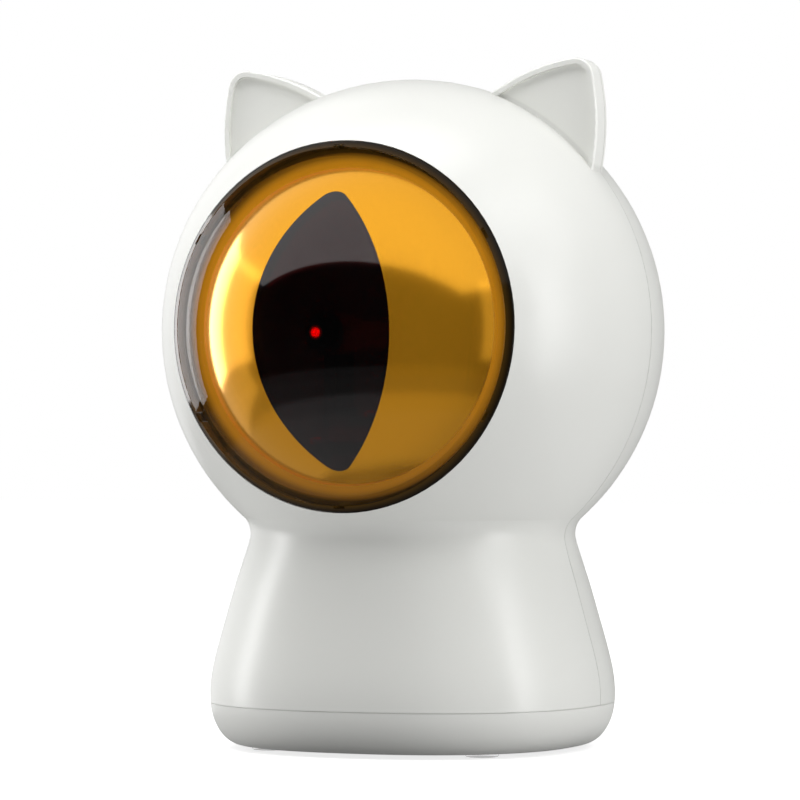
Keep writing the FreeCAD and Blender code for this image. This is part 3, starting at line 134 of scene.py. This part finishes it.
# Moulded plastics: colour and roughness
PLASTICS = {
    "button_white": ((0.78, 0.78, 0.77), 0.36),
    "inner_black": ((0.02, 0.02, 0.022), 0.5),
    "gear_nylon": ((0.80, 0.77, 0.68), 0.45),
    "board_green": ((0.02, 0.16, 0.07), 0.35),
    "chip_black": ((0.02, 0.02, 0.02), 0.5),
    "cell_wrap": ((0.55, 0.57, 0.60), 0.3),
}
# Metals: colour and roughness
METALS = {
    "screw_steel": ((0.62, 0.62, 0.61), 0.32),
    "motor_steel": ((0.64, 0.64, 0.62), 0.3),
    "brass": ((0.83, 0.62, 0.27), 0.3),
    "contact_metal": ((0.76, 0.74, 0.70), 0.28),
    "radio_can": ((0.72, 0.72, 0.72), 0.3),
    "socket_steel": ((0.72, 0.72, 0.73), 0.25),
}
# Clear plastics: roughness, index of refraction and haze
CLEARS = {
    "eye_clear": (0.02, 1.2, 0.0),
    "feet_rubber": (0.4, 1.08, 0.06),
    "light_pipe": (0.25, 1.49, 0.35),
}

# ---- Lights and floor ----
# Soft boxes for the eye: the angles they span as seen from it, and how bright each is.
EYE_BOXES = {
    "eye_left_far": ((-140, -98), (-12, 24), 5.5),
    "eye_left_near": ((-98, -70), (-12, 24), 1.2),
    "eye_left_low": ((-135, -76), (-27, -14), 0.42),
    "eye_right": ((75, 82), (-16, 24), 0.6),
}
# Soft boxes that only the clear dome shows.
DOME_BOXES = {
    "dome_left": ((-126, -97), (-15, 29), 3.5),
}
# Soft boxes for everything else.
SHELL_BOXES = {
    "left_edge": ((-85, -70), (-12, 24), 6.3),
    "left_side": ((-105, -85), (-12, 24), 0.95),
    "left_back": ((-140, -105), (-12, 24), 0.9),
    "left_high": ((-110, -87), (24, 60), 0.9),
    "left_high_back": ((-140, -110), (24, 60), 0.75),
    "right_edge": ((79, 87), (-16, 24), 6.2),
    "right_side": ((87, 96), (-16, 24), 3.6),
    "right_back": ((96, 108), (-16, 24), 0.6),
    "right_high_edge": ((66, 80), (24, 55), 3.0),
    "right_high": ((80, 94), (24, 55), 0.7),
    "right_high_back": ((94, 110), (24, 55), 2.15),
}
# Soft boxes that light without being mirrored, by the same angles.
EYE_FILL = {"eye_fill": ((-40, 40), (-10, 50), 0.33)}
REAR_FILL = {"rear_fill": ((150, 210), (-5, 45), 0.8)}
# Soft boxes overhead: ranges of X and Y, height over the eye, and how bright each is.
EYE_CEILING = {"eye_top": ((-2.7, 2.7), (-1.31, 1.0), 1.0, 1.0)}
SHELL_CEILING = {
    "top_wide": ((-0.9, 0.9), (-1.5, 0.0), 1.0, 0.7),
    "top_near": ((-0.4, 0.2), (-0.5, 0.1), 0.6, 2.8),
}
BOX_DISTANCE = 1.0            # from the eye to each soft box that is placed by angles
EYE_NODES = ("iris_dome", "pupil_window", "eye_bezel")
REAR_SHEEN = 0.1              # how bright mirrors show the room straight behind the object
REAR_SPREAD = 0.5             # and how far round, as the heading's Y

FLOOR_SIZE = 6.0
FLOOR_DROP = 0.00002          # below the feet, so that the two don't share a plane
FLOOR_SHADE = 0.6
FLOOR_ROUGHNESS = 0.9
FLOOR_GLOW = (0.75, 1.0)      # what the camera sees added near the object and far away
FLOOR_FAR = (0.2, 0.8)        # the radii for those two
BOUNCE = 0.675                # how bright the pale floor is for what it lights
CONTACT = (0.034, 0.056)      # radii where the object's own shadow on the floor starts and stops clearing
CONTACT_SHADE = 0.12          # how much of the bounce is left in that shadow
# How bright mirrors show the floor at each radius
FLOOR_SHEEN = (
    (0.0, 0.05), (0.030, 0.05), (0.050, 0.26), (0.134, 0.22),
    (0.148, 0.06), (0.235, 0.06), (0.25, 0.0), (1.0, 0.0),
)


# ---- Node helpers ----

def new_material(name):
    """A material with one Principled shader that reaches its output."""
    mat = bpy.data.materials.new(name)
    mat.use_nodes = True
    tree = mat.node_tree
    tree.nodes.clear()
    out = tree.nodes.new("ShaderNodeOutputMaterial")
    shader = tree.nodes.new("ShaderNodeBsdfPrincipled")
    tree.links.new(shader.outputs[0], out.inputs["Surface"])
    return mat, tree, shader, out


def feed(tree, socket, value):
    """Give a socket a plain value or a colour, or link it to another socket."""
    if isinstance(value, bpy.types.NodeSocket):
        tree.links.new(value, socket)
    elif socket.type == "RGBA":
        socket.default_value = (*value, 1)
    else:
        socket.default_value = value


def coordinates(tree, kind="Object"):
    return tree.nodes.new("ShaderNodeTexCoord").outputs[kind]


def noise(tree, scale, detail=2.0):
    node = tree.nodes.new("ShaderNodeTexNoise")
    node.inputs["Scale"].default_value = scale
    node.inputs["Detail"].default_value = detail
    feed(tree, node.inputs["Vector"], coordinates(tree))
    return node.outputs["Fac"]


def ranged(tree, value, low, high, from_low=0.3, from_high=0.7, smooth=False):
    """A value's range carried over to another; the first range suits noise."""
    node = tree.nodes.new("ShaderNodeMapRange")
    node.interpolation_type = "SMOOTHSTEP" if smooth else "LINEAR"
    limits = {"From Min": from_low, "From Max": from_high, "To Min": low, "To Max": high}
    for name, limit in limits.items():
        node.inputs[name].default_value = limit
    feed(tree, node.inputs["Value"], value)
    return node.outputs["Result"]


def blended(tree, factor, first, second):
    """A colour between two colours."""
    node = tree.nodes.new("ShaderNodeMix")
    node.data_type = "RGBA"
    feed(tree, node.inputs[0], factor)
    feed(tree, node.inputs[6], first)
    feed(tree, node.inputs[7], second)
    return node.outputs[2]


def fed_node(tree, kind, values, operation=None):
    """The outputs of a new node whose sockets are fed with these values in order."""
    node = tree.nodes.new(kind)
    if operation:
        node.operation = operation
    for socket, value in zip(node.inputs, values):
        feed(tree, socket, value)
    return node.outputs


def shader_of(tree, kind, *values):
    """A plain shader, or a mix or sum of shaders."""
    return fed_node(tree, kind, values)[0]


def calculated(tree, operation, *values):
    return fed_node(tree, "ShaderNodeMath", values, operation)[0]


def vector_math(tree, operation, *values):
    return fed_node(tree, "ShaderNodeVectorMath", values, operation)


def from_axis(tree, centre):
    """The distance of each point from a line along Y through a centre."""
    offset = vector_math(tree, "SUBTRACT", coordinates(tree), centre)["Vector"]
    flat = vector_math(tree, "MULTIPLY", offset, (1, 0, 1))["Vector"]
    return vector_math(tree, "LENGTH", flat)["Value"]


def along(tree, axis, kind="Object"):
    """Each point's place along one axis."""
    return fed_node(tree, "ShaderNodeSeparateXYZ", [coordinates(tree, kind)])[axis]


def glowing(tree, strength):
    return shader_of(tree, "ShaderNodeEmission", (1, 1, 1), strength)


def bounced(tree, kind):
    """1 for a ray that has left the camera's straight line by a bounce of this kind."""
    path = tree.nodes.new("ShaderNodeLightPath")
    return calculated(tree, "GREATER_THAN", path.outputs[kind + " Depth"], 0.5)


# ---- Materials ----

def plastic(name, colour, roughness, grain=0.02, spread=0.05, lit_ear_colour=None):
    """Moulded plastic: a fine spark-eroded texture and a slow drift of colour and gloss.

    The ears take a paler colour: painted light, standing in for the stronger light that falls on them from
    the lamps overhead.
    """
    mat, tree, shader, _ = new_material(name)
    darker = tuple(c * (1 - grain) for c in colour)
    tone = blended(tree, ranged(tree, noise(tree, DRIFT), 0, 1), darker, colour)
    # Painted light: the ears are made paler than the rest of the shell.
    if lit_ear_colour:
        outside = ranged(tree, from_axis(tree, EYE_CENTRE), 0, 1, *HEAD_EDGE)
        above = ranged(tree, along(tree, "Z"), 0, 1, *EAR_FOOT)
        tone = blended(tree, calculated(tree, "MULTIPLY", outside, above), tone, lit_ear_colour)
    feed(tree, shader.inputs["Base Color"], tone)
    gloss = ranged(tree, noise(tree, WAVER, detail=3.0), roughness - spread, roughness + spread)
    feed(tree, shader.inputs["Roughness"], gloss)
    bump = tree.nodes.new("ShaderNodeBump")
    bump.inputs["Strength"].default_value = GRAIN_STRENGTH
    bump.inputs["Distance"].default_value = GRAIN_DEPTH
    feed(tree, bump.inputs["Height"], noise(tree, TEXTURE))
    feed(tree, shader.inputs["Normal"], bump.outputs[0])
    return mat


def shell_plastic(name, lit_ear_colour=None):
    """The white of the shells and the cap, even and polished."""
    return plastic(name, WHITE, roughness=0.3, grain=0.006, spread=0.008, lit_ear_colour=lit_ear_colour)


def metal(name, colour, roughness):
    mat, tree, shader, _ = new_material(name)
    grain = noise(tree, BRUSHING)
    darker = tuple(c * METAL_SHADE for c in colour)
    feed(tree, shader.inputs["Base Color"], blended(tree, grain, darker, colour))
    spread = roughness * METAL_SPREAD
    feed(tree, shader.inputs["Roughness"], ranged(tree, grain, roughness - spread, roughness + spread))
    shader.inputs["Metallic"].default_value = 1.0
    return mat


def glass(name, roughness, gloss, haze):
    """Clear plastic: a wall that doesn't bend what is behind it, with a polished skin."""
    mat, tree, shader, _ = new_material(name)
    shader.inputs["Base Color"].default_value = (1, 1, 1, 1)
    shader.inputs["Metallic"].default_value = 1.0
    spread = roughness * CLEAR_SPREAD
    waver = ranged(tree, noise(tree, CLEAR_WAVER), roughness - spread, roughness + spread)
    feed(tree, shader.inputs["Roughness"], waver)
    side = tree.nodes.new("ShaderNodeNewGeometry").outputs["Backfacing"]
    skin = tree.nodes.new("ShaderNodeFresnel")
    feed(tree, skin.inputs["IOR"], ranged(tree, side, gloss, 1 / gloss, 0.0, 1.0))
    feed(tree, shader.inputs["Alpha"], ranged(tree, skin.outputs[0], haze, 1.0, 0.0, 1.0))
    return mat


def amber():
    """The iris: amber pearl paint inside a matt border, paler at the top and darker at the bottom by painted
    light and shade, and darkened over the rim by painted shade.
    """
    mat, tree, shader, _ = new_material("iris_amber")
    flakes = noise(tree, FLAKES)
    paint = blended(tree, ranged(tree, flakes, 0, 1), *IRIS_PAINT)
    bottom = EYE_CENTRE[2] - IRIS_EDGE
    top = EYE_CENTRE[2] + IRIS_EDGE
    # Painted light: the border is paler towards the top and darker towards the bottom.
    border = blended(tree, ranged(tree, along(tree, "Z"), 0, 1, bottom, top), *IRIS_BORDER_PAINTED_LIGHT)
    radius = from_axis(tree, EYE_CENTRE)
    brim = ranged(tree, radius, 0, 1, IRIS_EDGE - IRIS_STEP, IRIS_EDGE)
    face = blended(tree, brim, paint, border)
    # Painted shade: the border darkens to near black over the rim beside the ring.
    rim_shade = ranged(tree, radius, 0, 1, *RIM_PAINTED_SHADE, smooth=True)
    feed(tree, shader.inputs["Base Color"], blended(tree, rim_shade, face, IRIS_RIM_SHADE))
    feed(tree, shader.inputs["Roughness"], ranged(tree, flakes, *IRIS_ROUGHNESS))
    feed(tree, shader.inputs["Metallic"], ranged(tree, brim, IRIS_METAL, 0.0, 0.0, 1.0))
    return mat


def pupil():
    """Near-black clear plastic that lets a little of the laser through."""
    mat, tree, shader, out = new_material("pupil_black")
    drift = noise(tree, PUPIL_DRIFT)
    feed(tree, shader.inputs["Base Color"], blended(tree, drift, *PUPIL_BLACK))
    feed(tree, shader.inputs["Roughness"], ranged(tree, drift, *PUPIL_ROUGHNESS))
    shader.inputs["IOR"].default_value = PUPIL_GLOSS
    # The true normal of the sphere it is cut from, so that the mesh's pole shows no facet.
    spoke = vector_math(tree, "SUBTRACT", coordinates(tree), IRIS_CENTRE)["Vector"]
    feed(tree, shader.inputs["Normal"], vector_math(tree, "NORMALIZE", spoke)["Vector"])
    # It passes no light from the lamps, so the dark inside stays unlit.
    shadow = tree.nodes.new("ShaderNodeLightPath").outputs["Is Shadow Ray"]
    clearness = ranged(tree, shadow, PUPIL_CLEAR, 0.0, 0.0, 1.0)
    clear = shader_of(tree, "ShaderNodeBsdfTransparent", PUPIL_RED)
    window = shader_of(tree, "ShaderNodeMixShader", clearness, shader.outputs[0], clear)
    tree.links.new(window, out.inputs["Surface"])
    return mat


def bezel():
    """Black gloss whose seat under the clear dome has painted amber light from the iris beside it."""
    mat, tree, shader, _ = new_material("bezel_black")
    amber_light = ranged(tree, from_axis(tree, EYE_CENTRE), 0, 1, *BEZEL_AMBER_LIGHT_FADE, smooth=True)
    feed(tree, shader.inputs["Base Color"], blended(tree, amber_light, BEZEL_PAINTED_AMBER_LIGHT, BEZEL_BLACK))
    feed(tree, shader.inputs["Roughness"], ranged(tree, noise(tree, WAVER, detail=3.0), *BEZEL_ROUGHNESS))
    shader.inputs["Specular IOR Level"].default_value = BEZEL_SHINE
    return mat


def laser_barrel():
    """Blackened brass whose front face has the lens's red glow painted on as emission, though it is no lamp.
    """
    mat, tree, shader, _ = new_material("laser_barrel")
    grain = noise(tree, BRUSHING, detail=3.0)
    feed(tree, shader.inputs["Base Color"], blended(tree, grain, *BARREL))
    feed(tree, shader.inputs["Roughness"], ranged(tree, grain, *BARREL_ROUGHNESS))
    shader.inputs["Metallic"].default_value = BARREL_METAL
    # Painted light: the barrel's face glows red round the lens, fading out by GLOW_RADIUS.
    shader.inputs["Emission Color"].default_value = (*BARREL_PAINTED_GLOW, 1)
    radius = from_axis(tree, LASER_AXIS)
    glow = ranged(tree, radius, LASER_GLOW * BARREL_GLOW_SHARE, 0.0, LENS_RADIUS, GLOW_RADIUS, smooth=True)
    feed(tree, shader.inputs["Emission Strength"], glow)
    return mat


def laser_lens():
    """The lens, brightest in its middle."""
    mat, tree, shader, _ = new_material("laser_red")
    feed(tree, shader.inputs["Base Color"], blended(tree, noise(tree, LENS_SPARK), *LENS))
    shader.inputs["Roughness"].default_value = LENS_ROUGHNESS
    shader.inputs["Emission Color"].default_value = (*LENS_LIGHT, 1)
    radius = from_axis(tree, LASER_AXIS)
    glow = ranged(tree, radius, LASER_GLOW, LASER_GLOW * LENS_EDGE, LENS_CORE, LENS_RADIUS, smooth=True)
    feed(tree, shader.inputs["Emission Strength"], glow)
    return mat


def floor_white():
    """A pale matt floor: white to the camera, and shown by mirrors only near the object."""
    mat, tree, shader, out = new_material("floor_white")
    shader.inputs["Base Color"].default_value = (FLOOR_SHADE, FLOOR_SHADE, FLOOR_SHADE, 1)
    shader.inputs["Roughness"].default_value = FLOOR_ROUGHNESS
    shader.inputs["Specular IOR Level"].default_value = 0.0
    away = vector_math(tree, "LENGTH", coordinates(tree))["Value"]
    glow = glowing(tree, ranged(tree, away, *FLOOR_GLOW, *FLOOR_FAR))
    white = shader_of(tree, "ShaderNodeAddShader", shader.outputs[0], glow)
    ramp = tree.nodes.new("ShaderNodeValToRGB")
    stops = ramp.color_ramp.elements
    while len(stops) < len(FLOOR_SHEEN):
        stops.new(0.5)
    for stop, (radius, level) in zip(stops, FLOOR_SHEEN):
        stop.position = radius
        stop.color = (level, level, level, 1)
    feed(tree, ramp.inputs[0], away)
    clear = shader_of(tree, "ShaderNodeBsdfTransparent")
    sheen = shader_of(tree, "ShaderNodeAddShader", clear, glowing(tree, ramp.outputs["Color"]))
    seen = shader_of(tree, "ShaderNodeMixShader", bounced(tree, "Glossy"), white, sheen)
    bounce = glowing(tree, ranged(tree, away, BOUNCE * CONTACT_SHADE, BOUNCE, *CONTACT, smooth=True))
    seen = shader_of(tree, "ShaderNodeMixShader", bounced(tree, "Diffuse"), seen, bounce)
    tree.links.new(seen, out.inputs["Surface"])
    return mat


materials = {
    # The shells' white, with painted light on the ears
    "shell_white": shell_plastic("shell_white", lit_ear_colour=EAR_PAINTED_LIGHT),
    "base_white": shell_plastic("base_white"),
    "bezel_black": bezel(),
    "iris_amber": amber(),
    "pupil_black": pupil(),
    "laser_red": laser_lens(),
}
for make, table in ((plastic, PLASTICS), (metal, METALS), (glass, CLEARS)):
    for name, look in table.items():
        materials[name] = make(name, *look)

for piece in nodes.values():    # each piece comes with a plain material named after its slot
    slot = piece.data.materials[0].name.split(".")[0]
    piece.data.materials.clear()
    piece.data.materials.append(materials[slot])
nodes["laser_module"].data.materials[0] = laser_barrel()


# ---- The seal in the seam round the base ----

def base_seal():
    """A pale strip in the seam between the base cap and the shells, just inside the outline."""
    rim = {}
    for vertex in nodes["base_cap"].data.vertices:
        x, y, z = vertex.co
        if abs(z - SEAM[0]) < SEAM_TOLERANCE:
            turn = round(math.degrees(math.atan2(y, x)) / SEAL_STEP) % (360 // SEAL_STEP)
            rim[turn] = max(rim.get(turn, (0, 0, 0)), (math.hypot(x, y), x, y))
    outer, inner = SEAL_INSET
    # Each corner's inset and its share of the seam's height
    profile = ((outer, 0.2), (outer, 0.8), (inner, 0.95), (inner, 0.05))
    count = len(profile)
    corners = []
    for turn in sorted(rim):
        radius, x, y = rim[turn]
        for inset, rise in profile:
            share = (radius - inset) / radius
            corners.append((x * share, y * share, SEAM[0] + (SEAM[1] - SEAM[0]) * rise))
    faces = []
    for near in range(0, len(corners), count):
        ahead = (near + count) % len(corners)
        for j in range(count):
            k = (j + 1) % count
            faces.append((near + j, ahead + j, ahead + k, near + k))
    mesh = bpy.data.meshes.new("base_seal")
    mesh.from_pydata(corners, [], faces)
    mesh.materials.append(materials["base_white"])
    seal = bpy.data.objects.new("base_seal", mesh)
    bpy.context.scene.collection.objects.link(seal)
    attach(seal, "root")


base_seal()


# ---- Stage ----

def lay_floor():
    half = FLOOR_SIZE / 2
    corners = [(-half, -half, 0), (half, -half, 0), (half, half, 0), (-half, half, 0)]
    mesh = bpy.data.meshes.new("floor")
    mesh.from_pydata(corners, [], [(0, 1, 2, 3)])
    mesh.materials.append(floor_white())
    floor = bpy.data.objects.new("floor", mesh)
    floor.location = (0, 0, -FLOOR_DROP)
    floor.visible_shadow = False
    bpy.context.scene.collection.objects.link(floor)


def around(azimuth, elevation, distance, centre=EYE_CENTRE):
    """A place round a centre; azimuth 0 is in front of the eye, 90 on its +X side."""
    a = math.radians(azimuth)
    e = math.radians(elevation)
    way = Vector((math.sin(a) * math.cos(e), -math.cos(a) * math.cos(e), math.sin(e)))
    return Vector(centre) + distance * way


def area(name, place, size, turn, level, glossy=True):
    """A soft box whose face has a brightness of level; turned by nothing, it faces down."""
    data = bpy.data.lights.new(name, "AREA")
    data.shape = "RECTANGLE"
    data.size, data.size_y = size
    data.energy = level * math.pi * size[0] * size[1]
    lamp = bpy.data.objects.new(name, data)
    bpy.context.scene.collection.objects.link(lamp)
    lamp.location = place
    lamp.rotation_mode = "QUATERNION"
    lamp.rotation_quaternion = turn
    lamp.visible_camera = False
    lamp.visible_glossy = glossy
    lamp.visible_transmission = glossy
    return lamp


def boxes(table, glossy=True):
    """Soft boxes that span the table's angles as seen from the eye."""
    lamps = []
    for name, (azimuths, elevations, level) in table.items():
        place = around(sum(azimuths) / 2, sum(elevations) / 2, BOX_DISTANCE)
        turn = (Vector(EYE_CENTRE) - place).to_track_quat("-Z", "Y")
        spans = [math.radians(high - low) for low, high in (azimuths, elevations)]
        size = [2 * BOX_DISTANCE * math.tan(span / 2) for span in spans]
        lamps.append(area(name, place, size, turn, level, glossy))
    return lamps


def ceilings(table):
    """Soft boxes overhead that face straight down."""
    lamps = []
    for name, (x, y, height, level) in table.items():
        place = (sum(x) / 2, sum(y) / 2, EYE_CENTRE[2] + height)
        size = (x[1] - x[0], y[1] - y[0])
        lamps.append(area(name, place, size, (1, 0, 0, 0), level))
    return lamps


def grouped_pieces():
    """Collections for the lamps: the eye, its clear dome, all other pieces, and the eye's blockers."""
    groups = {}
    for name in ("eye_group", "dome_group", "shell_group", "blockers"):
        groups[name] = bpy.data.collections.new(name)
    eye_pieces = [nodes[name] for name in EYE_NODES]
    for thing in list(bpy.context.scene.objects):
        if thing.type != "MESH":
            continue
        if thing == nodes["eye_dome"]:
            group = "dome_group"
        elif thing in eye_pieces:
            group = "eye_group"
        else:
            group = "shell_group"
        groups[group].objects.link(thing)
    # The feet never stand between a lamp and the eye, so nothing shades it.
    groups["blockers"].objects.link(nodes["rubber_feet"])
    return groups


def light_only(lamps, group, blocked_by=None):
    """Keep lamps to one group of pieces, with shadows from all pieces or from one group."""
    for lamp in lamps:
        lamp.light_linking.receiver_collection = group
        if blocked_by:
            lamp.light_linking.blocker_collection = blocked_by


def backdrop(tree, strength):
    return shader_of(tree, "ShaderNodeBackground", (1, 1, 1), strength)


def studio():
    """A world that is white to the camera, lights nothing and is mirrored only from behind the object."""
    world = bpy.data.worlds.new("studio")
    world.use_nodes = True
    tree = world.node_tree
    tree.nodes.clear()
    behind = ranged(tree, along(tree, "Y", "Generated"), 0.0, REAR_SHEEN, 0.0, REAR_SPREAD)
    mirrored = bounced(tree, "Glossy")
    sky = shader_of(tree, "ShaderNodeMixShader", mirrored, backdrop(tree, 1.0), backdrop(tree, behind))
    sky = shader_of(tree, "ShaderNodeMixShader", bounced(tree, "Diffuse"), sky, backdrop(tree, 0.0))
    out = tree.nodes.new("ShaderNodeOutputWorld")
    tree.links.new(sky, out.inputs["Surface"])
    return world


def photo_camera():
    lens = bpy.data.cameras.new("camera")
    camera = bpy.data.objects.new("camera", lens)
    bpy.context.scene.collection.objects.link(camera)
    camera.location = around(AZIMUTH, ELEVATION, DISTANCE, TARGET)
    camera.rotation_mode = "QUATERNION"
    camera.rotation_quaternion = (TARGET - camera.location).to_track_quat("-Z", "Y")
    lens.sensor_width = SENSOR_WIDTH
    lens.lens = FOCAL_PIXELS / IMAGE_SIZE * SENSOR_WIDTH
    lens.shift_x = (IMAGE_SIZE / 2 - AXIS_PIXEL) / IMAGE_SIZE
    lens.clip_start, lens.clip_end = CLIP
    return camera


lay_floor()
groups = grouped_pieces()
for name in ("eye_bezel", "front_shell"):    # the iris mirrors the room, not the rims that stand round it
    nodes[name].visible_glossy = False
nodes["eye_bezel"].visible_shadow = False

eye_lamps = ceilings(EYE_CEILING) + boxes(EYE_FILL, glossy=False) + boxes(EYE_BOXES)
light_only(eye_lamps, groups["eye_group"], blocked_by=groups["blockers"])
light_only(boxes(DOME_BOXES), groups["dome_group"])
shell_lamps = ceilings(SHELL_CEILING) + boxes(REAR_FILL, glossy=False) + boxes(SHELL_BOXES)
light_only(shell_lamps, groups["shell_group"])

bpy.context.scene.world = studio()
bpy.context.scene.camera = photo_camera()
bpy.context.scene.view_settings.view_transform = "Standard"
